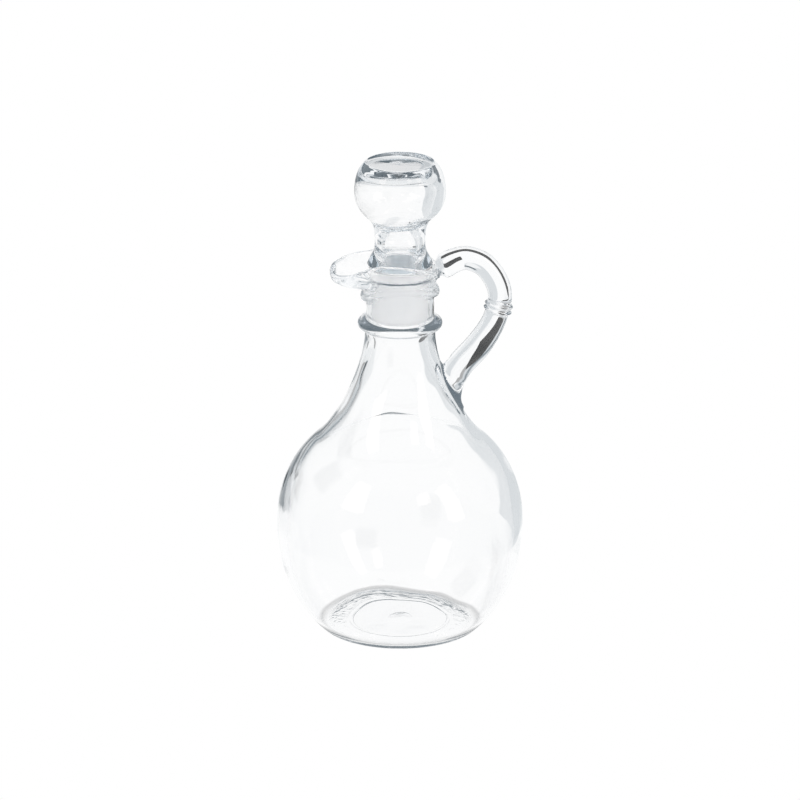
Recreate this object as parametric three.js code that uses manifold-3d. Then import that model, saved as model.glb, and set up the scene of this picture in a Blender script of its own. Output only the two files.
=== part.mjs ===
// A table cruet for oil or vinegar: a round-bellied clear glass bottle with a pinched pouring lip,
// a neck ring and a one-finger loop handle, closed by a ball-headed glass stopper in a soft plastic sleeve.
// Millimetres, +Z up. The origin is the centre of the foot. The lip pours towards -X, the handle is on +X.

import * as THREE from 'three';
import { mergeVertices } from 'three/addons/utils/BufferGeometryUtils.js';
import Module from 'manifold-3d';

// ---- driving dimensions -------------------------------------------------------------------------

const HEIGHT = 180;             // foot to the flat top of the stopper
const BODY_SEGMENTS = 40;       // facets round the bottle
const STOPPER_SEGMENTS = 32;    // facets round the stopper and its sleeve
const HANDLE_SEGMENTS = 12;     // facets round the handle
const CURVE_STEPS = 6;          // facets along each curve of the bottle's outline
const GAP = 0.3;                // clearance between neighbouring pieces

const FOOT_INNER_RADIUS = 25.5; // flat bearing ring under the bottle
const FOOT_OUTER_RADIUS = 29.6;
const KICK_UP = 0.8;            // hollow under the base, at the axis
const KICK_STEP_RADIUS = 20;
const FLOOR_THICKNESS = 1.9;
const FLOOR_RADIUS = 28.4;      // flat inside floor, before it turns up into the wall
const BELLY_RADIUS = 45.8;
const BELLY_HEIGHT = 41.2;
const SHOULDER_RADIUS = 31.6;   // where the outline turns from bulging to hollow
const SHOULDER_HEIGHT = 72.8;
const WALL = 3.3;               // belly wall
const NECK_FOOT_RADIUS = 13;    // outside, just under the neck ring
const NECK_FOOT_HEIGHT = 114.6;
const NECK_RADIUS = 12.5;       // outside, above the neck ring

const RING_HEIGHT = 118.1;
const RING_RADIUS = 13.95;      // to the middle of the ring's round section
const RING_SECTION_RADIUS = 1.65;

const BEAD_HEIGHT = 131.5;      // the wavy bead under the lip, before it is bent
const BEAD_RADIUS = 13.0;
const BEAD_SECTION_RADIUS = 1.6;

const BORE_RADIUS = 11;         // the stopper's seat in the neck
const BORE_TOP = 135.8;
const BORE_BOTTOM = 122;
const THROAT_RADIUS = 10.2;     // narrowest inside, below the seat
const THROAT_HEIGHT = 112;

const SLEEVE_RADIUS = BORE_RADIUS - GAP;
const SLEEVE_TIP_RADIUS = 10.45;
const SLEEVE_WALL = 1;
const SLEEVE_BOTTOM = 119.6;
const SLEEVE_FLANGE_RADIUS = 11.6;
const SLEEVE_FLANGE = 0.8;

const SKIRT_BOTTOM = 140.6;     // underside of the glass stopper's skirt
const SKIRT_RADIUS = 12;
const SPIGOT_BOTTOM = 119.0;
const SHANK_RADIUS = 9.3;
const SHANK_HEIGHT = 149.2;
const BALL_RADIUS = 16.8;
const BALL_HEIGHT = 168.4;
const TOP_DISC_RADIUS = 13.2;
const STOPPER_BORE_RADIUS = 6.6;  // the stopper is blown hollow and open at the bottom
const STOPPER_THROAT_RADIUS = 4.8; // its narrowest passage, where the ball meets the shank
const BALL_CAVITY_RADIUS = 14.6;
const BALL_CROWN = 3.8;         // thickness of the flat top

// ---- helpers ------------------------------------------------------------------------------------

const wasm = await Module();
wasm.setup();

const point = (radius, height) => new THREE.Vector2(radius, height);

// Points on a cubic curve, without its first one, so that stretches join without doubled points.
function curveTo(from, handleFrom, handleTo, to, steps = CURVE_STEPS) {
  return new THREE.CubicBezierCurve(from, handleFrom, handleTo, to).getPoints(steps).slice(1);
}

// Points on an arc round (radius, height), from one angle to another, in degrees.
function arc(radius, height, size, fromDegrees, toDegrees, steps) {
  return Array.from({ length: steps + 1 }, (_, i) => {
    const angle = THREE.MathUtils.degToRad(fromDegrees + ((toDegrees - fromDegrees) * i) / steps);
    return point(radius + size * Math.cos(angle), height + size * Math.sin(angle));
  });
}

// A turned solid about +Z. The outline runs up the outside, from axis to axis.
function turned(outline, segments) {
  return new THREE.LatheGeometry(outline, segments, -Math.PI / 2).rotateX(Math.PI / 2);
}

function toSolid(geometry) {
  const bare = geometry.clone();
  bare.deleteAttribute('normal');
  bare.deleteAttribute('uv');
  const merged = mergeVertices(bare, 1e-4);
  return new wasm.Manifold(new wasm.Mesh({
    numProp: 3,
    vertProperties: new Float32Array(merged.attributes.position.array),
    triVerts: new Uint32Array(merged.index.array),
  }));
}

function toGeometry(solid) {
  const mesh = solid.getMesh();
  const geometry = new THREE.BufferGeometry();
  geometry.setAttribute('position', new THREE.BufferAttribute(mesh.vertProperties, 3));
  geometry.setIndex(new THREE.BufferAttribute(mesh.triVerts, 1));
  geometry.computeVertexNormals();
  return geometry;
}

function piece(name, geometry, material) {
  const mesh = new THREE.Mesh(geometry, material);
  mesh.name = name;
  return mesh;
}

// ---- the bottle's outline -----------------------------------------------------------------------

const foot = point(FOOT_OUTER_RADIUS, 0);
const belly = point(BELLY_RADIUS, BELLY_HEIGHT);
const shoulder = point(SHOULDER_RADIUS, SHOULDER_HEIGHT);
const neckFoot = point(NECK_FOOT_RADIUS, NECK_FOOT_HEIGHT);

const underside = [
  point(0, KICK_UP),
  point(KICK_STEP_RADIUS, KICK_UP - 0.3),
  point(FOOT_INNER_RADIUS, 0),
  foot,
];

const outerWall = [
  ...curveTo(foot, point(37.9, 8), point(BELLY_RADIUS, 18.5), belly),
  ...curveTo(belly, point(BELLY_RADIUS, 52.8), point(41.2, 64.7), shoulder),
  ...curveTo(shoulder, point(22.6, 80.4), point(NECK_FOOT_RADIUS, 103.1), neckFoot),
];

const ring = arc(RING_RADIUS, RING_HEIGHT, RING_SECTION_RADIUS, -90, 90, 6);

const neck = [
  point(NECK_RADIUS, RING_HEIGHT + 3),
  point(NECK_RADIUS, BEAD_HEIGHT - 3),
];

const bead = arc(BEAD_RADIUS, BEAD_HEIGHT, BEAD_SECTION_RADIUS, -75, 75, 5);

// The lip has two forms: round, as it is blown, and pinched out into the spout.
// Each pair is [round form, spout form]; the bottle passes from one to the other round its mouth.
const lip = [
  [point(13.3, 136), point(16.5, 133.2)],
  [point(13.9, 138.3), point(21, 133.9)],
  [point(14.4, 139.8), point(24.6, 135.7)],
  [point(14.6, 140.5), point(25.8, 137.6)],
  [point(14.3, 141.2), point(25.5, 138.8)],
  [point(13.6, 141.5), point(24.7, 139.2)],
  [point(12.9, 141.2), point(23.7, 138.8)],
  [point(12.55, 140.5), point(22, 137.8)],
  [point(12.45, 139), point(18, 136.8)],
  [point(12.2, 137.2), point(14.2, 136.5)],
];
const RIM_INDEX = 5;            // the highest point of the lip
const SPOUT_REACH = lip[3][1].x - lip[3][0].x;

const bore = [
  point(BORE_RADIUS, BORE_TOP),
  point(BORE_RADIUS, BORE_BOTTOM),
  point(THROAT_RADIUS, THROAT_HEIGHT),
];

const innerFloorHeight = KICK_UP + FLOOR_THICKNESS;
const innerBelly = point(BELLY_RADIUS - WALL, BELLY_HEIGHT);
const innerShoulder = point(SHOULDER_RADIUS - 1.9, SHOULDER_HEIGHT - 2.3);
const innerFoot = point(FLOOR_RADIUS, innerFloorHeight - 0.1);
const innerWall = [
  ...curveTo(bore[2], point(THROAT_RADIUS, 100.5), point(20.9, 78), innerShoulder),
  ...curveTo(innerShoulder, point(38.6, 62.9), point(innerBelly.x, 53), innerBelly),
  ...curveTo(innerBelly, point(innerBelly.x, 20), point(36, 9.4), point(30.4, 3.9)),
  innerFoot,
];
const innerFloor = [point(0, innerFloorHeight)];

// ---- the bent lip -------------------------------------------------------------------------------

const spoutDegrees = (x, y) => THREE.MathUtils.radToDeg(Math.atan2(Math.abs(y), -x));

// 1 in the middle of the spout, falling to 0 round the mouth.
const pull = (degrees) => 1 - THREE.MathUtils.smoothstep(degrees, 14, 64);
const widen = (degrees) => 0.7 * (1 - THREE.MathUtils.smoothstep(degrees, 30, 54));

// The mouth waves: high at both sides, low at the spout and lowest at the handle.
function wave(degrees, atSpout, atSide, atHandle) {
  const angle = THREE.MathUtils.degToRad(degrees);
  const twice = ((atSpout + atHandle) / 2 - atSide) / 2;
  const mean = atSide + twice;
  return mean + ((atSpout - atHandle) / 2) * Math.cos(angle) + twice * Math.cos(2 * angle);
}
const beadWave = (degrees) => wave(degrees, -2.9, 3.1, -1.1);
const rimWave = (degrees) => wave(degrees, 0.5, 2.2, -2);

// How far a lip point follows the rim's wave: fully at the rim, not at all at the bore.
const rimShare = (index) => 1 - THREE.MathUtils.smoothstep(Math.abs(index - RIM_INDEX), 2, 4.5);

// Bends the bead and the lip of a turned bottle. The outline's point beadStart is the bead's first.
function bendLip(geometry, outline, beadStart, inflate = 0) {
  const position = geometry.attributes.position;
  const lipStart = beadStart + bead.length;
  for (let i = 0; i < position.count; i += 1) {
    const index = i % outline.length;
    const x = position.getX(i);
    const y = position.getY(i);
    const degrees = spoutDegrees(x, y);
    if (index >= beadStart && index < lipStart) {
      position.setZ(i, position.getZ(i) + beadWave(degrees));
    } else if (index >= lipStart && index < lipStart + lip.length) {
      const lipIndex = index - lipStart;
      const [round, spout] = lip[lipIndex];
      const reach = spout.x - round.x;
      const share = pull(degrees);
      const onOutside = lipIndex < RIM_INDEX;
      const low = onOutside ? beadWave(degrees) : 0;
      const high = rimWave(degrees);
      const bend = low + (high - low) * rimShare(lipIndex);
      position.setX(i, x - reach * share);
      position.setY(i, y * (1 + (widen(degrees) * reach) / SPOUT_REACH));
      position.setZ(i, round.y + bend * (1 - share) + (spout.y - round.y) * share
        + (onOutside ? -share : 1) * inflate);
    }
  }
  return geometry;
}

// ---- bottle -------------------------------------------------------------------------------------

const outerOutline = [...underside, ...outerWall, ...ring, ...neck, ...bead];
const beadStart = outerOutline.length - bead.length;
const roundLip = lip.map(([round]) => round);

function bottleBody() {
  const outline = [...outerOutline, ...roundLip, ...bore, ...innerWall, ...innerFloor];
  return bendLip(turned(outline, BODY_SEGMENTS), outline, beadStart);
}

// The bottle without its hollow, grown by the clearance: what the handle is cut back from.
function bottleBlank() {
  const grow = ({ x, y }) => point(x > 0 ? x + GAP : 0, y);
  const shrink = ({ x, y }) => point(x - GAP, y);
  const outline = [
    ...[...outerOutline, ...roundLip.slice(0, RIM_INDEX + 1)].map(grow),
    ...roundLip.slice(RIM_INDEX + 1).map(shrink),
    point(0, BORE_TOP),
  ];
  outline[0] = point(0, KICK_UP - GAP);
  return bendLip(turned(outline, BODY_SEGMENTS), outline, beadStart, GAP);
}

// ---- handle -------------------------------------------------------------------------------------

const HANDLE_RADIUS = 4.4;
const HANDLE_BAND_RADIUS = 5.4; // the pinched band on the outside of the loop
const handleLine = new THREE.CatmullRomCurve3([
  [12.9, 138.9], [16.4, 140.2], [20.2, 142.2], [24.8, 143], [30.6, 140.6], [35, 135], [36.8, 129],
  [35.9, 122.8], [33.4, 116.3], [28.6, 108.8], [22.6, 101.9], [19.6, 96.8], [19.7, 92.6], [20.7, 89],
  [22.4, 84.6],
].map(([x, z]) => new THREE.Vector3(x, 0, z)));

// The handle's radius, by the share of its length from the lip to the tip of its tail.
function handleRadius(share) {
  const { smoothstep } = THREE.MathUtils;
  const blunt = Math.sqrt(Math.min(1, share / 0.04));
  const lowerRoot = 0.6 * smoothstep(share, 0.5, 0.7);
  const upperRoot = 0.3 * (1 - smoothstep(share, 0.05, 0.14));
  const band = (HANDLE_BAND_RADIUS - HANDLE_RADIUS) * Math.exp(-(((share - 0.455) / 0.014) ** 2));
  const tail = 1 - smoothstep(share, 0.84, 1.03);
  return (HANDLE_RADIUS + lowerRoot + upperRoot + band) * blunt * tail;
}

function handle() {
  const length = handleLine.getLength();
  const shares = [0.004, 0.015, 0.04, 0.08, 0.12];
  for (let i = 1; i <= 7; i += 1) shares.push(0.12 + i * 0.04);
  shares.push(0.43, 0.445, 0.455, 0.465, 0.48);
  for (let i = 1; i <= 12; i += 1) shares.push(0.48 + i * 0.04);
  shares.push(0.985);
  const outline = [
    point(0, 0),
    ...shares.map((share) => point(handleRadius(share), share * length)),
    point(0, length),
  ];
  const geometry = turned(outline, HANDLE_SEGMENTS);
  const position = geometry.attributes.position;
  const sideways = new THREE.Vector3(0, 1, 0);
  for (let i = 0; i < position.count; i += 1) {
    const share = Math.min(1, Math.max(0, position.getZ(i) / length));
    const along = handleLine.getTangentAt(share);
    const across = new THREE.Vector3().crossVectors(sideways, along);
    const vertex = handleLine.getPointAt(share)
      .addScaledVector(across, position.getX(i))
      .addScaledVector(sideways, position.getY(i));
    position.setXYZ(i, vertex.x, vertex.y, vertex.z);
  }
  return toGeometry(toSolid(geometry).subtract(toSolid(bottleBlank())));
}

// ---- stopper ------------------------------------------------------------------------------------

function stopperGlass() {
  const spigotRadius = SLEEVE_RADIUS - SLEEVE_WALL - GAP;
  const spigotTipRadius = SLEEVE_TIP_RADIUS - SLEEVE_WALL - GAP;
  const shank = point(SHANK_RADIUS, SHANK_HEIGHT);
  const skirt = point(SKIRT_RADIUS, SKIRT_BOTTOM + 0.8);
  const ballFoot = point(12.1, 159);
  const ballSide = point(BALL_RADIUS, BALL_HEIGHT);
  const discEdge = point(TOP_DISC_RADIUS, HEIGHT - 0.5);
  const outside = [
    point(0, HEIGHT),
    point(TOP_DISC_RADIUS - 0.5, HEIGHT),
    discEdge,
    ...curveTo(discEdge, point(15.8, 177.2), point(BALL_RADIUS, 173), ballSide, 5),
    ...curveTo(ballSide, point(BALL_RADIUS, 164.4), point(15, 161.5), ballFoot, 5),
    ...curveTo(ballFoot, point(9.9, 157), point(SHANK_RADIUS, 154.6), shank, 4),
    ...curveTo(shank, point(SHANK_RADIUS, 145.4), point(10.8, 144.4), skirt, 4),
    point(SKIRT_RADIUS - 0.5, SKIRT_BOTTOM),
    point(spigotRadius, SKIRT_BOTTOM),
    point(spigotTipRadius, SPIGOT_BOTTOM + 0.8),
    point(spigotTipRadius - 0.8, SPIGOT_BOTTOM),
  ];
  const cavityTop = point(9.5, HEIGHT - BALL_CROWN - 0.6);
  const cavitySide = point(BALL_CAVITY_RADIUS, BALL_HEIGHT);
  const cavityFoot = point(9.8, 158.7);
  const throat = point(STOPPER_THROAT_RADIUS, 155.6);
  const inside = [
    point(0, HEIGHT - BALL_CROWN),
    cavityTop,
    ...curveTo(cavityTop, point(12.5, 175.2), point(BALL_CAVITY_RADIUS, 172), cavitySide, 4),
    ...curveTo(cavitySide, point(BALL_CAVITY_RADIUS, 163.8), point(12.6, 160.8), cavityFoot, 5),
    point(7.6, 157.2),
    throat,
    point(5.6, 153.8),
    point(6.4, 151.4),
    point(STOPPER_BORE_RADIUS, 148),
    point(STOPPER_BORE_RADIUS, SPIGOT_BOTTOM),
  ];
  return turned([...inside, ...outside.reverse()], STOPPER_SEGMENTS);
}

// A thin plastic thimble on the stopper's spigot, open at the bottom, with a flange under the skirt.
function stopperSleeve() {
  const top = SKIRT_BOTTOM - GAP;
  const outline = [
    point(SLEEVE_TIP_RADIUS - SLEEVE_WALL, SLEEVE_BOTTOM),
    point(SLEEVE_TIP_RADIUS - 0.2, SLEEVE_BOTTOM),
    point(SLEEVE_TIP_RADIUS, SLEEVE_BOTTOM + 0.4),
    point(SLEEVE_RADIUS, BORE_TOP),
    point(SLEEVE_RADIUS, top - SLEEVE_FLANGE),
    point(SLEEVE_FLANGE_RADIUS, top - SLEEVE_FLANGE),
    point(SLEEVE_FLANGE_RADIUS, top),
    point(SLEEVE_RADIUS - SLEEVE_WALL, top),
    point(SLEEVE_TIP_RADIUS - SLEEVE_WALL, SLEEVE_BOTTOM),
  ];
  return turned(outline, STOPPER_SEGMENTS);
}

// ---- assembly -----------------------------------------------------------------------------------

const glass = () => new THREE.MeshStandardMaterial({
  color: 0xe9f1f1,
  roughness: 0.02,
  metalness: 0,
  transparent: true,
  opacity: 0.35,
});
const sleevePlastic = new THREE.MeshStandardMaterial({ color: 0xdfe0e4, roughness: 0.45, metalness: 0 });

const cruet = new THREE.Group();
cruet.add(piece('bottle_body', bottleBody(), glass()));
cruet.add(piece('handle', handle(), glass()));
cruet.add(piece('stopper_glass', stopperGlass(), glass()));
cruet.add(piece('stopper_sleeve', stopperSleeve(), sleevePlastic));

export default cruet;
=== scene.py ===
"""The visual model of a table cruet: a clear glass bottle with a fused loop handle, and its glass stopper.

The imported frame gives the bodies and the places. The glass is rebuilt here with smooth turned walls,
a bent lip, a drawn handle welded to it, and a ball-headed stopper in a milky plastic sleeve.
Outlines are in millimetres, as on a drawing, and MM turns them into metres.
"""
import math

import bpy
import numpy as np
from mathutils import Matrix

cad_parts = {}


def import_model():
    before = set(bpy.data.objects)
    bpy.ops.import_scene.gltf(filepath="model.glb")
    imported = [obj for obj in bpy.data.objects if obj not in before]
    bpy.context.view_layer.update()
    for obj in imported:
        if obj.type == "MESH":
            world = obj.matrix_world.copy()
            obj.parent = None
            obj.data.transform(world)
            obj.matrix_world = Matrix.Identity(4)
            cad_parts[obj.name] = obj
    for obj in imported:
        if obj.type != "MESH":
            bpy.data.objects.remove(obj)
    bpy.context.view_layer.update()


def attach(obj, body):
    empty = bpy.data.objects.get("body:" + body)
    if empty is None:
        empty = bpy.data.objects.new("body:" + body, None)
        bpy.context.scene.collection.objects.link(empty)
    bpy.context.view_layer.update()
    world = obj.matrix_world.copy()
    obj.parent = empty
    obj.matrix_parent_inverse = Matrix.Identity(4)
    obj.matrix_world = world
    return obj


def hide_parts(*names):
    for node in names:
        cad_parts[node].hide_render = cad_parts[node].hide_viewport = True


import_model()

MM = 0.001

TURN_STEPS = 240        # columns of a turned mesh
HANDLE_TURN_STEPS = 48  # columns round the handle

# ---- driving sizes, in millimetres ----------------------------------------------------------------

HEIGHT = 180.0

# Places on the outside of the bottle, as (radius, height).
HEEL = (31.2, 1.6)
BELLY = (45.8, 41.2)
SHOULDER = (31.6, 72.8)
RING = (13.95, 118.1)
RING_SECTION = 1.65
NECK_RADIUS = 12.5
BEAD = (13.0, 131.5)
BEAD_SECTION = 1.6

# Places on its inside.
BORE_RADIUS = 11.0
BORE_TOP = 135.8
BORE_BOTTOM = 122.0
THROAT = (10.2, 112.0)
INSIDE_SHOULDER = (29.7, 70.5)
INSIDE_BELLY = (42.5, 41.2)
INSIDE_HEEL = (30.6, 4.0)
INSIDE_FLOOR = (28.2, 2.55)


# ---- outlines -------------------------------------------------------------------------------------


def bezier(p0, p1, p2, p3, steps):
    """Points on a cubic curve after its first one."""
    t = np.linspace(0, 1, steps + 1)[1:, None]
    a, b, c, d = (np.array(p, float) for p in (p0, p1, p2, p3))
    return a * (1 - t) ** 3 + 3 * b * t * (1 - t) ** 2 + 3 * c * t * t * (1 - t) + d * t**3


def arc(centre, radius, start, end, steps):
    """Points on an arc, from one angle to another in degrees."""
    angle = np.radians(np.linspace(start, end, steps + 1))
    return np.array(centre) + radius * np.column_stack([np.cos(angle), np.sin(angle)])


def spline(points, steps):
    """A smooth curve through points of any dimension, with steps points to each span."""
    pts = np.array(points, float)
    pts = np.vstack([2 * pts[0] - pts[1], pts, 2 * pts[-1] - pts[-2]])
    out = []
    for i in range(1, len(pts) - 2):
        a, b, c, d = pts[i - 1 : i + 3]
        t = np.arange(steps)[:, None] / steps
        square, cube = 2 * a - 5 * b + 4 * c - d, 3 * b - a - 3 * c + d
        out.append(0.5 * (2 * b + (c - a) * t + square * t**2 + cube * t**3))
    out.append(pts[-2][None])
    return np.vstack(out)


def smoothstep(x, low, high):
    """0 below low, 1 above high, and a soft ramp between them."""
    t = np.clip((x - low) / (high - low), 0, 1)
    return t * t * (3 - 2 * t)


def even(points, gap):
    """The same outline with its points at an even distance of about gap."""
    pts = np.array(points, float)
    run = np.concatenate([[0], np.cumsum(np.linalg.norm(np.diff(pts, axis=0), axis=1))])
    steps = max(2, int(round(run[-1] / gap)))
    at = np.linspace(0, run[-1], steps + 1)
    return np.column_stack([np.interp(at, run, pts[:, k]) for k in range(pts.shape[1])])


# ---- meshes ---------------------------------------------------------------------------------------


def mesh_object(name, vertices, faces):
    """A smooth-shaded object from vertices in millimetres."""
    mesh = bpy.data.meshes.new(name)
    mesh.from_pydata((np.asarray(vertices) * MM).tolist(), [], faces)
    mesh.validate()
    mesh.shade_smooth()
    obj = bpy.data.objects.new(name, mesh)
    bpy.context.scene.collection.objects.link(obj)
    return obj


def turn_angles(steps):
    """The angles of a turned grid's columns, from -X. They are closest at the spout and at the handle."""
    even_angle = np.arange(steps) * 2 * np.pi / steps
    return even_angle - 0.25 * np.sin(2 * even_angle)


def turned_grid(outline, steps):
    """Rings of vertices for an outline whose first and last points lie on the axis: (points, steps, 3)."""
    angle = turn_angles(steps)
    radius, height = outline[:, 0][:, None], outline[:, 1][:, None]
    return np.stack([-radius * np.cos(angle), -radius * np.sin(angle), height + 0 * angle], axis=2)


def grid_faces(rows, steps):
    """Faces of a turned grid: two poles and the rings of vertices between them."""
    last = rows * steps + 1
    ring = lambda row, k: 1 + row * steps + k % steps
    faces = [(0, ring(0, k + 1), ring(0, k)) for k in range(steps)]
    for row in range(rows - 1):
        faces += [
            (ring(row, k), ring(row, k + 1), ring(row + 1, k + 1), ring(row + 1, k)) for k in range(steps)
        ]
    faces += [(last, ring(rows - 1, k), ring(rows - 1, k + 1)) for k in range(steps)]
    return faces


def turned(name, outline, steps=TURN_STEPS, bend=None):
    """A turned solid from an outline that runs from axis to axis. bend moves all but its two poles."""
    outline = np.array(outline, float)
    grid = turned_grid(outline[1:-1], steps)
    if bend is not None:
        grid = bend(grid)
    poles = [[0, 0, outline[0, 1]], [0, 0, outline[-1, 1]]]
    vertices = np.vstack([poles[:1], grid.reshape(-1, 3), poles[1:]])
    return mesh_object(name, vertices, grid_faces(len(grid), steps))


# ---- bottle ---------------------------------------------------------------------------------------

UNDERSIDE = [
    (0, 0.9), (2, 0.87), (4, 0.76), (6, 0.7), (16.4, 0.7), (17.4, 0.67), (18.2, 0.6),
    (19, 0.63), (20, 0.6), (23.5, 0.4), (25.6, 0.12), (26.4, 0.03), (26.8, 0.0),
]
# The lip's outline from the bead up and over the rim into the bore: all round, and at the spout.
LIP_ROUND = [
    (13.3, 136), (13.9, 138.3), (14.4, 139.8), (14.6, 140.5), (14.3, 141.2),
    (13.6, 141.5), (12.9, 141.2), (12.55, 140.5), (12.45, 139), (12.2, 137.2),
]
LIP_SPOUT = [
    (16.5, 133.2), (21, 133.9), (24.6, 135.7), (25.8, 137.6), (25.5, 138.8),
    (24.7, 139.2), (23.7, 138.8), (22, 137.8), (18, 136.8), (14.2, 136.5),
]
SPOUT_REACH = LIP_SPOUT[3][0] - LIP_ROUND[3][0]
SPOUT_PULL = (14, 64)   # degrees from the spout: fully drawn out, and not at all
SPOUT_WIDEN = 0.7       # how much wider the drawn glass is than its angle
SPOUT_WIDE = (30, 54)   # degrees over which that fades
LIP_STEPS = 7

# How far the bead and the rim swing up or down: at the spout, at the sides and at the handle.
BEAD_WAVE = (-2.9, 3.1, -1.1)
RIM_WAVE = (0.5, 2.2, -2.0)

WALL_WAVES = 0.10       # how far the inside wall waves in and out
STIPPLE = 0.022         # height of the grain pressed into the underside
WELD = 2.2              # how wide the glass has run into the corner between handle and bottle


def wave(angle, at_spout, at_side, at_handle):
    """A height that swings round the mouth. The angle runs from the spout."""
    once = (at_spout - at_handle) / 2
    twice = ((at_spout + at_handle) / 2 - at_side) / 2
    return at_side + twice + once * np.cos(angle) + twice * np.cos(2 * angle)


def bottle_rows():
    """The outline up the outside and down inside, and how many of its points are outside.

    Each row is (radius, height, spout radius, spout height, bead share, rim share).
    """
    def rows(points, bead=0.0, rim=0.0):
        pts = np.array(points, float)
        extra = np.zeros((len(pts), 2)) + [bead, rim]
        return np.hstack([pts, pts, extra])

    outer = [
        rows(spline(UNDERSIDE, 6)),
        rows(even([(26.8, 0), (28.4, 0)], 0.4)[1:]),
        rows(bezier((28.4, 0), (29.9, 0), (30.4, 0.82), HEEL, 8)),
        rows(bezier(HEEL, (38.4, 8.5), (45.8, 19.5), BELLY, 56)),
        rows(bezier(BELLY, (45.8, 52.8), (41.2, 64.7), SHOULDER, 50)),
        rows(bezier(SHOULDER, (22.6, 80.4), (13, 103.1), (13, 114.0), 84)),
        rows(bezier((13, 114.0), (13, 115.6), (13.2, 116.4), (14.1, 116.46), 5)),
        rows(arc(RING, RING_SECTION, -80, 80, 16)),
        rows(bezier((14.1, 119.74), (12.9, 119.8), (12.55, 120.4), (NECK_RADIUS, 122), 5)),
    ]
    bead_foot = (NECK_RADIUS + 0.1, BEAD[1] - 2.6)
    neck = even([(NECK_RADIUS, 122), bead_foot], 0.6)[1:]
    neck_rows = rows(neck)
    neck_rows[:, 4] = smoothstep(neck[:, 1], 122, bead_foot[1])
    outer.append(neck_rows)
    outer.append(rows(bezier(bead_foot, (12.75, 129.2), (12.9, 129.9), (13.7, 130.05), 4), bead=1))
    outer.append(rows(arc(BEAD, BEAD_SECTION, -60, 70, 12), bead=1))

    bead_top = np.array([13.3, 133.4, 14.0, 134.1, 1, 0])
    bore_top = np.array([BORE_RADIUS, BORE_TOP, BORE_RADIUS, BORE_TOP, 0, 0])
    keys = [bead_top]
    for i, (round_form, spout_form) in enumerate(zip(LIP_ROUND, LIP_SPOUT)):
        rim = 1 - smoothstep(abs(i - 5), 2, 4.5)
        outside = 1.0 if i < 5 else 0.0
        keys.append(np.array([*round_form, *spout_form, (1 - rim) * outside, rim]))
    keys.append(bore_top)
    outer.append(spline(keys, LIP_STEPS))

    bore_foot = (BORE_RADIUS, BORE_BOTTOM)
    inner = [
        rows(even([(BORE_RADIUS, BORE_TOP), bore_foot], 1.2)[1:]),
        rows(bezier(bore_foot, (11, 118.5), (10.2, 116), THROAT, 10)),
        rows(bezier(THROAT, (10.2, 100.5), (20.9, 78), INSIDE_SHOULDER, 56)),
        rows(bezier(INSIDE_SHOULDER, (38.6, 62.9), (42.5, 53), INSIDE_BELLY, 44)),
        rows(bezier(INSIDE_BELLY, (42.5, 20), (36, 9.4), INSIDE_HEEL, 50)),
        rows(bezier(INSIDE_HEEL, (29.8, 3.2), (29.2, 2.6), INSIDE_FLOOR, 7)),
        rows(even([INSIDE_FLOOR, (0, 2.75)], 1.2)[1:]),
    ]
    outside_count = sum(len(part) for part in outer[:-1]) + LIP_STEPS * 5
    return np.vstack(outer + inner), outside_count


def bend_mouth(rows):
    """Returns the function that waves the bead and the rim of the turned bottle and pinches out its spout."""
    radius, height, spout_radius, spout_height, bead_share, rim_share = rows[1:-1].T

    def bend(grid):
        angle = turn_angles(grid.shape[1])
        degrees = np.degrees(np.arccos(np.clip(np.cos(angle), -1, 1)))
        pull = 1 - smoothstep(degrees, *SPOUT_PULL)
        widen = SPOUT_WIDEN * (1 - smoothstep(degrees, *SPOUT_WIDE))
        reach = (spout_radius - radius)[:, None]
        lift = (
            bead_share[:, None] * wave(angle, *BEAD_WAVE)
            + rim_share[:, None] * wave(angle, *RIM_WAVE)
        )
        in_lip = (np.abs(reach) > 1e-6).astype(float)
        share = pull * in_lip
        grid[:, :, 0] -= reach * share
        grid[:, :, 1] *= 1 + widen * reach / SPOUT_REACH
        at_spout = (spout_height - height)[:, None]
        grid[:, :, 2] = height[:, None] + lift * (1 - share) + at_spout * share
        return grid

    return bend


def grid_normals(grid):
    """Outward normals of a turned grid's vertices."""
    along = np.gradient(grid, axis=0)
    around = np.roll(grid, -1, axis=1) - np.roll(grid, 1, axis=1)
    normal = np.cross(around, along)
    return normal / np.maximum(np.linalg.norm(normal, axis=2, keepdims=True), 1e-9)


def weld_rise(distance):
    """How far a surface rises towards another one this far away, where hot glass has run into the corner."""
    return 0.5 * WELD * np.clip(1 - distance / WELD, 0, 1) ** 2


def wall_waves(grid):
    """Blown glass is never quite even: slow waves of the inside wall."""
    angle, height = np.arctan2(grid[:, :, 1], grid[:, :, 0]), grid[:, :, 2]
    waves = (
        np.sin(2 * angle + 0.045 * height + 0.4)
        + 0.7 * np.sin(3 * angle - 0.11 * height + 2.0)
        + 0.5 * np.sin(5 * angle + 0.19 * height + 1.1)
        + 0.3 * np.sin(9 * angle - 0.31 * height)
    )
    return WALL_WAVES * waves * smoothstep(height, 8, 25) * (1 - smoothstep(height, 95, 112))


def stipple(grid):
    """The pressed grain of the underside, round its smooth middle."""
    grain = np.random.default_rng(7).normal(size=grid.shape[:2])
    grain = grain + np.roll(grain, 1, axis=1) + np.roll(grain, -1, axis=1)
    radius = np.hypot(grid[:, :, 0], grid[:, :, 1])
    zone = smoothstep(radius, 19.5, 21.5) * (1 - smoothstep(radius, 25.5, 27.5)) * (grid[:, :, 2] < 1.2)
    return STIPPLE * grain * zone


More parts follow.
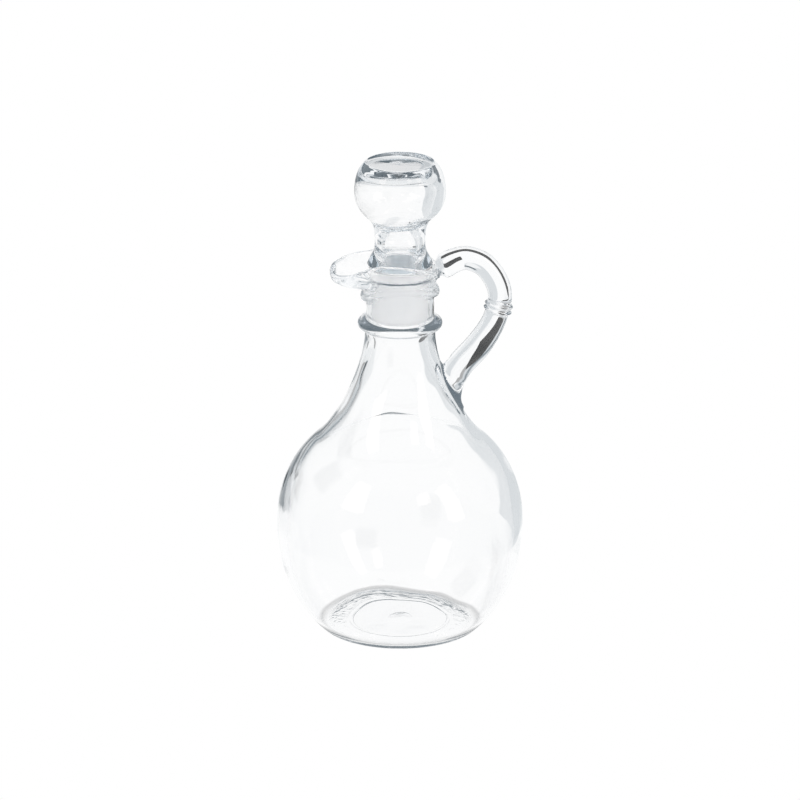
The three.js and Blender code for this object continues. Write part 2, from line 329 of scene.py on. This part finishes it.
def bottle_blank():
    """The bottle without its handle, with the glass drawn up to the places where the handle meets it."""
    rows, outside_count = bottle_rows()
    bend = bend_mouth(rows)
    outside = (np.arange(1, len(rows) - 1) < outside_count)[:, None]
    line, line_radius = handle_line()
    line = np.column_stack([line[:, 0], np.zeros(len(line)), line[:, 1]])

    def shape(grid):
        grid = bend(grid)
        normal = grid_normals(grid)
        grid = grid + normal * (wall_waves(grid) * ~outside)[:, :, None]
        grid[:, :, 2] += stipple(grid)
        x, y, z = grid[:, :, 0], grid[:, :, 1], grid[:, :, 2]
        near = (x > 5) & (np.abs(y) < 14) & (z > 74) & outside
        away = np.full(grid.shape[:2], 99.0)
        away[near] = (np.linalg.norm(grid[near][:, None] - line, axis=2) - line_radius).min(axis=1)
        return grid + normal * weld_rise(away)[:, :, None]

    return turned("bottle", rows[:, :2], bend=shape)


def bottle_side():
    """The bottle's outside in the plane of the handle, as (x, z)."""
    rows, outside_count = bottle_rows()
    grid = bend_mouth(rows)(turned_grid(rows[1:-1, :2], TURN_STEPS))
    return even(grid[: outside_count - 1, TURN_STEPS // 2][:, [0, 2]], 0.15)


# ---- handle ---------------------------------------------------------------------------------------

HANDLE_LINE = [
    (12.9, 138.9), (16.4, 140.2), (20.2, 142.2), (24.8, 143), (30.6, 140.6),
    (35, 135), (36.8, 129), (35.9, 122.8), (33.4, 116.3), (28.6, 108.8),
    (22.6, 101.9), (19.6, 96.8), (19.7, 92.6), (20.7, 89), (22.4, 84.6),
]
HANDLE_RADIUS = 4.4
LOWER_ROOT, UPPER_ROOT = 0.6, 0.3   # how much thicker the handle is where it leaves the bottle
BAND_AT = 0.455                     # the pinched band, as a share of the handle's length
BAND_RIDGE = 0.012                  # from its middle to either ridge, and how wide a ridge is, as shares
BAND_WIDTH = 0.007
BAND_RISE = 0.95


def handle_line():
    """Points along the middle of the handle, as (x, z), and its radius at each."""
    line = even(spline(HANDLE_LINE, 12), 0.4)
    share = np.linspace(0, 1, len(line))
    blunt = np.sqrt(np.clip(share / 0.04, 0, 1))
    lower_root = LOWER_ROOT * smoothstep(share, 0.5, 0.7)
    upper_root = UPPER_ROOT * (1 - smoothstep(share, 0.05, 0.14))
    ridges = [BAND_AT - BAND_RIDGE, BAND_AT + BAND_RIDGE]
    band = sum(BAND_RISE * np.exp(-(((share - at) / BAND_WIDTH) ** 2)) for at in ridges)
    tail = 1 - smoothstep(share, 0.84, 1.03)
    return line, (HANDLE_RADIUS + lower_root + upper_root + band) * blunt * tail


def handle_blank():
    """A rod bent along the handle's line, with its glass drawn out to the bottle."""
    line, radius = handle_line()
    ahead = np.gradient(line, axis=0)
    ahead /= np.linalg.norm(ahead, axis=1)[:, None]
    across = np.column_stack([ahead[:, 1], -ahead[:, 0]])
    angle = np.arange(HANDLE_TURN_STEPS) * 2 * np.pi / HANDLE_TURN_STEPS
    outward = np.stack(
        [
            across[1:-1, 0, None] * np.cos(angle),
            np.sin(angle) + 0 * across[1:-1, 0, None],
            across[1:-1, 1, None] * np.cos(angle),
        ],
        axis=2,
    )
    middle = np.column_stack([line[:, 0], np.zeros(len(line)), line[:, 1]])[1:-1, None]
    grid = middle + outward * radius[1:-1, None, None]
    side = bottle_side()
    near = grid[:, :, 0] < 34
    reach = np.column_stack([np.hypot(grid[near][:, 0], grid[near][:, 1]), grid[near][:, 2]])
    away = np.full(grid.shape[:2], 99.0)
    away[near] = [np.linalg.norm(side - point, axis=1).min() for point in reach]
    grid = grid + outward * weld_rise(away)[:, :, None]
    ends = [[line[0, 0], 0, line[0, 1]], [line[-1, 0], 0, line[-1, 1]]]
    vertices = np.vstack([ends[:1], grid.reshape(-1, 3), ends[1:]])
    return mesh_object("handle_blank", vertices, grid_faces(len(grid), HANDLE_TURN_STEPS))


def join(target, other):
    """Fuses other into target as one closed solid, and drops other."""
    modifier = target.modifiers.new("weld", "BOOLEAN")
    modifier.operation = "UNION"
    modifier.solver = "MANIFOLD"
    modifier.object = other
    apply_modifiers(target)
    bpy.data.objects.remove(other)


def apply_modifiers(obj):
    """Bakes the object's modifiers into its mesh."""
    graph = bpy.context.evaluated_depsgraph_get()
    mesh = bpy.data.meshes.new_from_object(obj.evaluated_get(graph))
    obj.modifiers.clear()
    obj.data = mesh


# ---- stopper --------------------------------------------------------------------------------------

CAVITY_TILT = 0.16      # slope of the cavity's foot towards the handle
CAVITY_SHIFT = 1.5      # how far the cavity lies off centre, towards the spout


def stopper_head():
    """Blown hollow and open at the bottom: its outline runs down the inside and up the outside."""
    skirt, shank = (12, 141.4), (9.3, 149.2)
    ball_foot, ball_side, disc = (12.1, 159), (16.8, 168.4), (13.2, 179.5)
    crown, cavity_side, cavity_foot, throat = (9.5, 175.6), (14.6, 168.4), (9.8, 158.7), (4.8, 155.6)
    outline = np.vstack([
        even([(0, 176.2), crown], 1.0),
        bezier(crown, (12.5, 175.2), (14.6, 172), cavity_side, 16),
        bezier(cavity_side, (14.6, 163.8), (12.6, 160.8), cavity_foot, 16),
        bezier(cavity_foot, (8, 157.4), (4.9, 157.2), throat, 9),
        bezier(throat, (4.7, 153.8), (6.2, 152.8), (6.5, 149.5), 9),
        even([(6.5, 149.5), (6.6, 143)], 1.0)[1:],
        even([(6.6, 143), (6.6, 119.5)], 1.0)[1:],
        bezier((6.6, 119.5), (6.6, 119.1), (6.8, 119), (7.3, 119), 3),
        bezier((7.3, 119), (8.5, 119), (8.95, 119.3), (9.0, 120), 4),
        even([(9.0, 120), (9.4, 139.9)], 1.0)[1:],
        bezier((9.4, 139.9), (9.45, 140.5), (9.8, 140.6), (10.4, 140.6), 4),
        bezier((10.4, 140.6), (11.4, 140.6), (12.1, 140.7), skirt, 6),
        bezier(skirt, (10.8, 144.4), (9.3, 145.4), shank, 14),
        bezier(shank, (9.3, 154.6), (9.9, 157), ball_foot, 18),
        bezier(ball_foot, (15, 161.5), (16.8, 164.4), ball_side, 18),
        bezier(ball_side, (16.8, 173), (15.8, 177.2), disc, 20),
        bezier(disc, (12.9, 179.9), (12.6, HEIGHT), (12.0, HEIGHT), 5),
        even([(12.0, HEIGHT), (0, HEIGHT - 0.3)], 1.0)[1:],
    ])
    inside_points = 1 + int(np.argmin(outline[:, 1]))

    def lean(grid):
        """Moves the cavity off centre in the ball and tilts its foot, as blown glass comes out."""
        inside = (np.arange(len(grid)) < inside_points - 1)[:, None]
        x, z = grid[:, :, 0], grid[:, :, 2]
        in_ball = smoothstep(z, 157, 165) * inside
        at_foot = np.exp(-(((z - 158) / 4) ** 2)) * inside
        grid[:, :, 2] = z + CAVITY_TILT * x * at_foot
        grid[:, :, 0] = x - CAVITY_SHIFT * in_ball
        return grid

    return turned("stopper_head", outline, bend=lean)


def sleeve():
    """A thin collar round the spigot with a flange at its top: its outline is a closed loop."""
    outline = np.vstack([
        even([(9.45, 119.6), (10.25, 119.6)], 0.3),
        bezier((10.25, 119.6), (10.4, 119.6), (10.45, 119.8), (10.45, 120.0), 3),
        even([(10.45, 120.0), (10.7, 139.5)], 0.4)[1:],
        even([(10.7, 139.5), (11.5, 139.5), (11.5, 140.3), (9.7, 140.3)], 0.25)[1:],
        even([(9.7, 140.3), (9.45, 119.6)], 0.8)[1:-1],
    ])
    grid = turned_grid(outline, TURN_STEPS)
    rows, steps = grid.shape[:2]
    index = lambda row, k: (row % rows) * steps + k % steps
    faces = [
        (index(r, k), index(r, k + 1), index(r + 1, k + 1), index(r + 1, k))
        for r in range(rows)
        for k in range(steps)
    ]
    return mesh_object("stopper_liner", grid.reshape(-1, 3), faces)


# ---- shader nodes ---------------------------------------------------------------------------------


class Maths:
    """Short names for the Math nodes of one node tree."""

    def __init__(self, tree):
        self.nodes, self.links = tree.nodes, tree.links

    def __call__(self, operation, *values):
        node = self.nodes.new("ShaderNodeMath")
        node.operation = operation
        for socket, value in zip(node.inputs, values):
            if isinstance(value, (int, float)):
                socket.default_value = value
            else:
                self.links.new(value, socket)
        return node.outputs[0]

    def window(self, value, centre, half, soft):
        """1 inside centre +- half, falling to 0 over soft on both sides of the edge."""
        away = self("ABSOLUTE", self("SUBTRACT", value, centre))
        node = self.nodes.new("ShaderNodeMapRange")
        node.interpolation_type = "SMOOTHSTEP"
        self.links.new(away, node.inputs["Value"])
        node.inputs["From Min"].default_value = half - soft
        node.inputs["From Max"].default_value = half + soft
        node.inputs["To Min"].default_value = 1
        node.inputs["To Max"].default_value = 0
        return node.outputs[0]

    def card(self, across, along, half_width, half_height, tilt, soft):
        """1 on a card turned by tilt degrees, from the distances to its middle."""
        cos, sin = math.cos(math.radians(tilt)), math.sin(math.radians(tilt))
        u = self("ADD", self("MULTIPLY", across, cos), self("MULTIPLY", along, sin))
        v = self("SUBTRACT", self("MULTIPLY", along, cos), self("MULTIPLY", across, sin))
        return self("MULTIPLY", self.window(u, 0, half_width, soft), self.window(v, 0, half_height, soft))

    def mix(self, level, other, share):
        """level, and other where share is 1."""
        return self("MULTIPLY_ADD", self("SUBTRACT", other, level), share, level)


# ---- materials ------------------------------------------------------------------------------------

GLASS_IOR = 1.52
GLASS_TINT = (0.76, 0.84, 0.92, 1)
GLASS_DENSITY = 7.0
BOTTLE_RIPPLE = (0.00006, 60)
STOPPER_RIPPLE = (0.000012, 90)
# The painted glow of the glass: the tone it gives off as light, though it is no lamp, to a ray still in it
# after so many bounces, and how much brighter that glow is to a ray that comes from a matte piece.
PAINTED_DEEP_GLOW = (0.075, 0.09, 0.10, 1)
DEEP_BOUNCES = 9
PAINTED_GLOW_GAIN = 8

PLASTIC_TONE = (0.94, 0.935, 0.935, 1)
PLASTIC_THROUGH = 0.42  # the share of its light that comes through it


def new_material(name):
    material = bpy.data.materials.new(name)
    material.use_nodes = True
    nodes = material.node_tree.nodes
    shader = next(n for n in nodes if n.type == "BSDF_PRINCIPLED")
    output = next(n for n in nodes if n.type == "OUTPUT_MATERIAL")
    return material, nodes, material.node_tree.links, shader, output


def clear_glass(name, ripple, scale):
    """Faintly tinted glass, with a painted glow for rays deep in it. Its shading ripples by this much, in
    metres, and scale is how finely.
    """
    material, nodes, links, shader, output = new_material(name)
    shader.inputs["Base Color"].default_value = (1, 1, 1, 1)
    shader.inputs["Roughness"].default_value = 0.0
    shader.inputs["IOR"].default_value = GLASS_IOR
    shader.inputs["Transmission Weight"].default_value = 1.0

    noise = nodes.new("ShaderNodeTexNoise")
    noise.inputs["Scale"].default_value = scale
    noise.inputs["Detail"].default_value = 1.5
    place = nodes.new("ShaderNodeTexCoord")
    links.new(place.outputs["Object"], noise.inputs["Vector"])
    bump = nodes.new("ShaderNodeBump")
    bump.inputs["Strength"].default_value = 1.0
    bump.inputs["Distance"].default_value = ripple
    links.new(noise.outputs["Fac"], bump.inputs["Height"])
    links.new(bump.outputs["Normal"], shader.inputs["Normal"])

    tint = nodes.new("ShaderNodeVolumeAbsorption")
    tint.inputs["Color"].default_value = GLASS_TINT
    tint.inputs["Density"].default_value = GLASS_DENSITY
    links.new(tint.outputs["Volume"], output.inputs["Volume"])

    maths = Maths(material.node_tree)
    # Painted glow: a ray still in the glass past so many bounces picks up its deep tone as light, brighter if
    # it came from a matte piece.
    path = nodes.new("ShaderNodeLightPath")
    matte = maths("GREATER_THAN", path.outputs["Diffuse Depth"], 0.5)
    glow_gain = maths("MULTIPLY_ADD", matte, PAINTED_GLOW_GAIN - 1, 1.0)
    glow_on = maths("GREATER_THAN", path.outputs["Ray Depth"], DEEP_BOUNCES)
    shader.inputs["Emission Color"].default_value = PAINTED_DEEP_GLOW
    links.new(maths("MULTIPLY", glow_on, glow_gain), shader.inputs["Emission Strength"])
    return material


def milky_plastic(name):
    """Thin white polyethylene: part of the light goes through it."""
    material, nodes, links, shader, output = new_material(name)
    shader.inputs["Base Color"].default_value = PLASTIC_TONE
    shader.inputs["Roughness"].default_value = 0.35
    through = nodes.new("ShaderNodeBsdfTranslucent")
    through.inputs["Color"].default_value = PLASTIC_TONE
    mix = nodes.new("ShaderNodeMixShader")
    mix.inputs["Fac"].default_value = PLASTIC_THROUGH
    links.new(shader.outputs[0], mix.inputs[1])
    links.new(through.outputs[0], mix.inputs[2])
    links.new(mix.outputs[0], output.inputs["Surface"])
    return material


# ---- studio ---------------------------------------------------------------------------------------

STUDIO_LEVEL = 0.86
# Cards and boxes round the bottle, hidden from the camera. Degrees: azimuth from +Y towards +X, elevation,
# half width, half height, tilt, softness of the edge; then the brightness.
CARDS = [
    # the lit table and the white sweep behind it
    (-27, -36, 36, 17, 0, 2, 0.97),
    (-3, -22, 13, 24, 0, 1, 1.0),
    # grey side of the sweep, with a lit gap beside it
    (27, -6, 21, 30, 20, 0.8, 0.72),
    (8, 4, 5, 9, 0, 1.5, 0.93),
    (-40, 3, 26, 10, 0, 3, 0.66),
    # dark shelf above the sweep, and the dark room at the left
    (5, 15, 15, 4, 0, 1, 0.12),
    (-30, 5, 20, 3.5, 0, 1, 0.28),
    (-52, 0, 5, 8, 0, 1, 0.06),
    (-78, 32, 12, 12, 0, 3, 0.3),
    (-148, -2, 10, 9, 0, 3, 0.3),
    # soft boxes in front
    (-128, 36, 10, 15, 0, 1, 2.2),
    (122, 28, 7, 18, 0, 1, 2.2),
    (150, 40, 6, 6, 0, 1, 2.0),
]
# Dark cards lying on the table behind the bottle, hidden from the camera. Metres: x, y, half width,
# half length; tilt in degrees; softness in metres; then the brightness.
TABLE_CARDS = [
    (-0.36, 0.85, 0.27, 0.33, 0, 0.02, 0.42),
    (-0.125, 0.24, 0.018, 0.05, 25, 0.005, 0.07),
]
# Cards standing close behind the bottle, seen only in the glass: black ones for the handle and a white one
# for the stopper's ball. Metres: x from and to, y, z from and to; then the brightness.
STANDING_CARDS = [
    (0.013, 0.0305, 0.035, 0.097, 0.114, 0.04),
    (0.012, 0.022, 0.035, 0.127, 0.134, 0.04),
    (-0.022, 0.022, 0.045, 0.120, 0.186, 1.0),
]
INNER_GAIN = 2.3        # a matte piece behind glass sees the lights this much brighter
FLOOR_HALF = 6.0        # metres, like the rest of these
FLOOR_DROP = 0.0005     # keeps the floor clear of the foot
FLOOR_REACH = 0.12      # how far from the bottle the floor is seen through the glass
CONTACT_RADIUS = 0.0304 # the middle of the ring of shadow where the bottle stands
CONTACT_WIDTH = 0.0018
CONTACT_DEPTH = 0.38    # how much darker the floor is there

CAMERA_PLACE = (0, -2.0, 0.799)
CAMERA_DOWN = 19.58     # degrees
CAMERA_LENS = 257.7     # millimetres, on a sensor 36 wide


def world():
    """A pale studio with cards round it, a little bluer where it is darker. The camera sees plain white."""
    sky = bpy.data.worlds.new("studio")
    bpy.context.scene.world = sky
    sky.use_nodes = True
    nodes, links = sky.node_tree.nodes, sky.node_tree.links
    background = next(n for n in nodes if n.type == "BACKGROUND")
    output = next(n for n in nodes if n.type == "OUTPUT_WORLD")
    maths = Maths(sky.node_tree)
    place = nodes.new("ShaderNodeTexCoord")
    split = nodes.new("ShaderNodeSeparateXYZ")
    links.new(place.outputs["Generated"], split.inputs[0])
    azimuth = maths("MULTIPLY", maths("ARCTAN2", split.outputs["X"], split.outputs["Y"]), 180 / math.pi)
    elevation = maths("MULTIPLY", maths("ARCSINE", split.outputs["Z"]), 180 / math.pi)

    level = STUDIO_LEVEL
    for centre, height, half_width, half_height, tilt, soft, strength in CARDS:
        across = maths("WRAP", maths("SUBTRACT", azimuth, centre), 180, -180)
        above = maths("SUBTRACT", elevation, height)
        level = maths.mix(level, strength, maths.card(across, above, half_width, half_height, tilt, soft))
    tint = nodes.new("ShaderNodeCombineColor")
    for channel, power in (("Red", 1.12), ("Green", 1.0), ("Blue", 0.92)):
        links.new(maths("POWER", level, power), tint.inputs[channel])
    links.new(tint.outputs[0], background.inputs["Color"])

    path = nodes.new("ShaderNodeLightPath")
    matte = maths("GREATER_THAN", path.outputs["Diffuse Depth"], 0.5)
    inside = maths("MULTIPLY", matte, maths("GREATER_THAN", path.outputs["Transmission Depth"], 1.5))
    links.new(maths("MULTIPLY_ADD", inside, INNER_GAIN - 1, 1.0), background.inputs["Strength"])
    plain = nodes.new("ShaderNodeBackground")
    plain.inputs["Color"].default_value = (1, 1, 1, 1)
    mix = nodes.new("ShaderNodeMixShader")
    links.new(path.outputs["Is Camera Ray"], mix.inputs["Fac"])
    links.new(background.outputs[0], mix.inputs[1])
    links.new(plain.outputs[0], mix.inputs[2])
    links.new(mix.outputs[0], output.inputs["Surface"])


def white_floor():
    """Plain white from the camera. The glass sees it near the bottle, with a shadow, and at the cards."""
    material, nodes, links, _, output = new_material("white_floor")
    maths = Maths(material.node_tree)
    place = nodes.new("ShaderNodeNewGeometry")
    split = nodes.new("ShaderNodeSeparateXYZ")
    links.new(place.outputs["Position"], split.inputs[0])
    length = nodes.new("ShaderNodeVectorMath")
    length.operation = "LENGTH"
    links.new(place.outputs["Position"], length.inputs[0])
    radius = length.outputs["Value"]
    shade = maths.window(radius, CONTACT_RADIUS, CONTACT_WIDTH, CONTACT_WIDTH)
    level = maths("MULTIPLY_ADD", shade, -CONTACT_DEPTH, 1.0)
    seen = maths("LESS_THAN", radius, FLOOR_REACH)
    for x, y, half_width, half_length, tilt, soft, strength in TABLE_CARDS:
        mask = maths.card(
            maths("SUBTRACT", split.outputs["X"], x), maths("SUBTRACT", split.outputs["Y"], y),
            half_width, half_length, tilt, soft,
        )
        level = maths.mix(level, strength, mask)
        seen = maths("MAXIMUM", seen, mask)
    glow = nodes.new("ShaderNodeEmission")
    links.new(level, glow.inputs["Strength"])
    clear = nodes.new("ShaderNodeBsdfTransparent")
    table = nodes.new("ShaderNodeMixShader")
    links.new(seen, table.inputs["Fac"])
    links.new(clear.outputs[0], table.inputs[1])
    links.new(glow.outputs[0], table.inputs[2])
    plain = nodes.new("ShaderNodeEmission")
    path = nodes.new("ShaderNodeLightPath")
    mix = nodes.new("ShaderNodeMixShader")
    links.new(path.outputs["Is Camera Ray"], mix.inputs["Fac"])
    links.new(table.outputs[0], mix.inputs[1])
    links.new(plain.outputs[0], mix.inputs[2])
    links.new(mix.outputs[0], output.inputs["Surface"])
    return material


def standing_card(number, left, right, depth, bottom, top, strength):
    """An upright card that only clear glass sees."""
    corners = [(left, depth, bottom), (right, depth, bottom), (right, depth, top), (left, depth, top)]
    mesh = bpy.data.meshes.new(f"card_{number}")
    mesh.from_pydata(corners, [], [(0, 1, 2, 3)])
    material, nodes, links, _, output = new_material(f"card_{number}")
    glow = nodes.new("ShaderNodeEmission")
    glow.inputs["Strength"].default_value = strength
    links.new(glow.outputs[0], output.inputs["Surface"])
    mesh.materials.append(material)
    obj = bpy.data.objects.new(f"card_{number}", mesh)
    bpy.context.scene.collection.objects.link(obj)
    obj.visible_camera = False
    obj.visible_diffuse = False
    obj.visible_shadow = False
    return obj


def floor():
    mesh = bpy.data.meshes.new("floor")
    half = FLOOR_HALF
    corners = [(-half, -half, 0), (half, -half, 0), (half, half, 0), (-half, half, 0)]
    mesh.from_pydata(corners, [], [(0, 1, 2, 3)])
    mesh.materials.append(white_floor())
    obj = bpy.data.objects.new("floor", mesh)
    bpy.context.scene.collection.objects.link(obj)
    obj.location.z = -FLOOR_DROP


def camera():
    data = bpy.data.cameras.new("camera")
    data.lens = CAMERA_LENS
    data.sensor_width = 36
    data.clip_start = 0.05
    data.clip_end = 50
    obj = bpy.data.objects.new("camera", data)
    bpy.context.scene.collection.objects.link(obj)
    obj.location = CAMERA_PLACE
    obj.rotation_euler = (math.radians(90 - CAMERA_DOWN), 0, 0)
    bpy.context.scene.camera = obj


# ---- assembly -------------------------------------------------------------------------------------


def build():
    """The three visible pieces, each on its body and in place of its CAD nodes."""
    bottle = bottle_blank()
    join(bottle, handle_blank())
    bottle.data.materials.clear()
    bottle.data.materials.append(clear_glass("bottle_glass_look", *BOTTLE_RIPPLE))
    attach(bottle, "bottle")
    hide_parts("bottle_body", "handle")

    head = stopper_head()
    head.data.materials.append(clear_glass("stopper_glass_look", *STOPPER_RIPPLE))
    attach(head, "stopper")
    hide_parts("stopper_glass")

    liner = sleeve()
    liner.data.materials.append(milky_plastic("sleeve_look"))
    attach(liner, "sleeve")
    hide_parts("stopper_sleeve")


def look_settings():
    """Ends every ray right after DEEP_BOUNCES, so that the glass's painted glow doesn't add up along it."""
    scene = bpy.context.scene
    scene.view_settings.view_transform = "Standard"
    scene.cycles.max_bounces = DEEP_BOUNCES + 1
    scene.cycles.transmission_bounces = DEEP_BOUNCES + 1
    scene.cycles.glossy_bounces = DEEP_BOUNCES + 1
    scene.cycles.transparent_max_bounces = 16
    scene.cycles.use_denoising = True


build()
world()
floor()
for number, card in enumerate(STANDING_CARDS):
    standing_card(number, *card)
camera()
look_settings()
